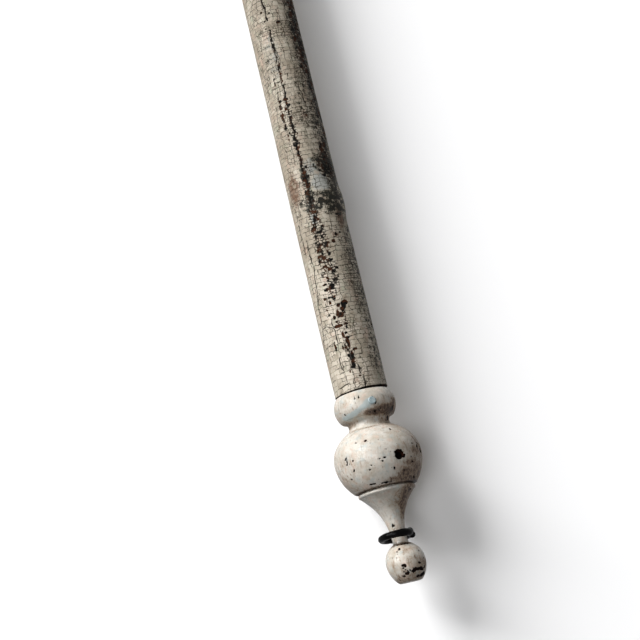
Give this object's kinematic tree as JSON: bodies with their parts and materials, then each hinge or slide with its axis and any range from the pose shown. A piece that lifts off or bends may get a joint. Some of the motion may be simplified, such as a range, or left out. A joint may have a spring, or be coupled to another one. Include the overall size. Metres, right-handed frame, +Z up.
{
  "type": "processional cross",
  "caption": "Painted wooden processional cross: round staff with a turned ball and cone finial and loose ring at its foot, and a plain cross with ball ends lifted out of a turned knop",
  "frame": {"origin": "centre of the worn flat at the tip of the foot finial, where the staff is grounded", "axes": "+Z up the staff, +X to the right of someone facing the cross, -Y towards them"},
  "size_m": [0.3488, 0.061, 2.1184],
  "materials": {
    "crackled_paint": "old off-white paint, alligatored, dark undercoat and bare wood in the cracks",
    "worn_paint": "old off-white gloss paint, chipped and grimy",
    "peg_paint": "blue-grey paint rubbed through to wood",
    "black_iron": "glossy black"
  },
  "bodies": {
    "staff": {"shaft": "crackled_paint", "foot_finial": "worn_paint", "foot_peg": "peg_paint", "head_knop": "worn_paint", "head_peg": "peg_paint"},
    "ring": {"foot_ring": "black_iron"},
    "head": {"cross_upright": "crackled_paint", "cross_bar": "crackled_paint", "lap_pegs": "peg_paint", "terminal_top": "worn_paint", "terminal_left": "worn_paint", "terminal_right": "worn_paint"}
  },
  "joints": [
    {"name": "ring_slide", "type": "slide", "parent": "staff", "child": "ring", "axis": [0, 0, 1], "range_m": [-0.0028, 0.006]},
    {"name": "head_lift", "type": "slide", "parent": "staff", "child": "head", "axis": [0, 0, 1], "range_m": [0, 0.055]}
  ]
}
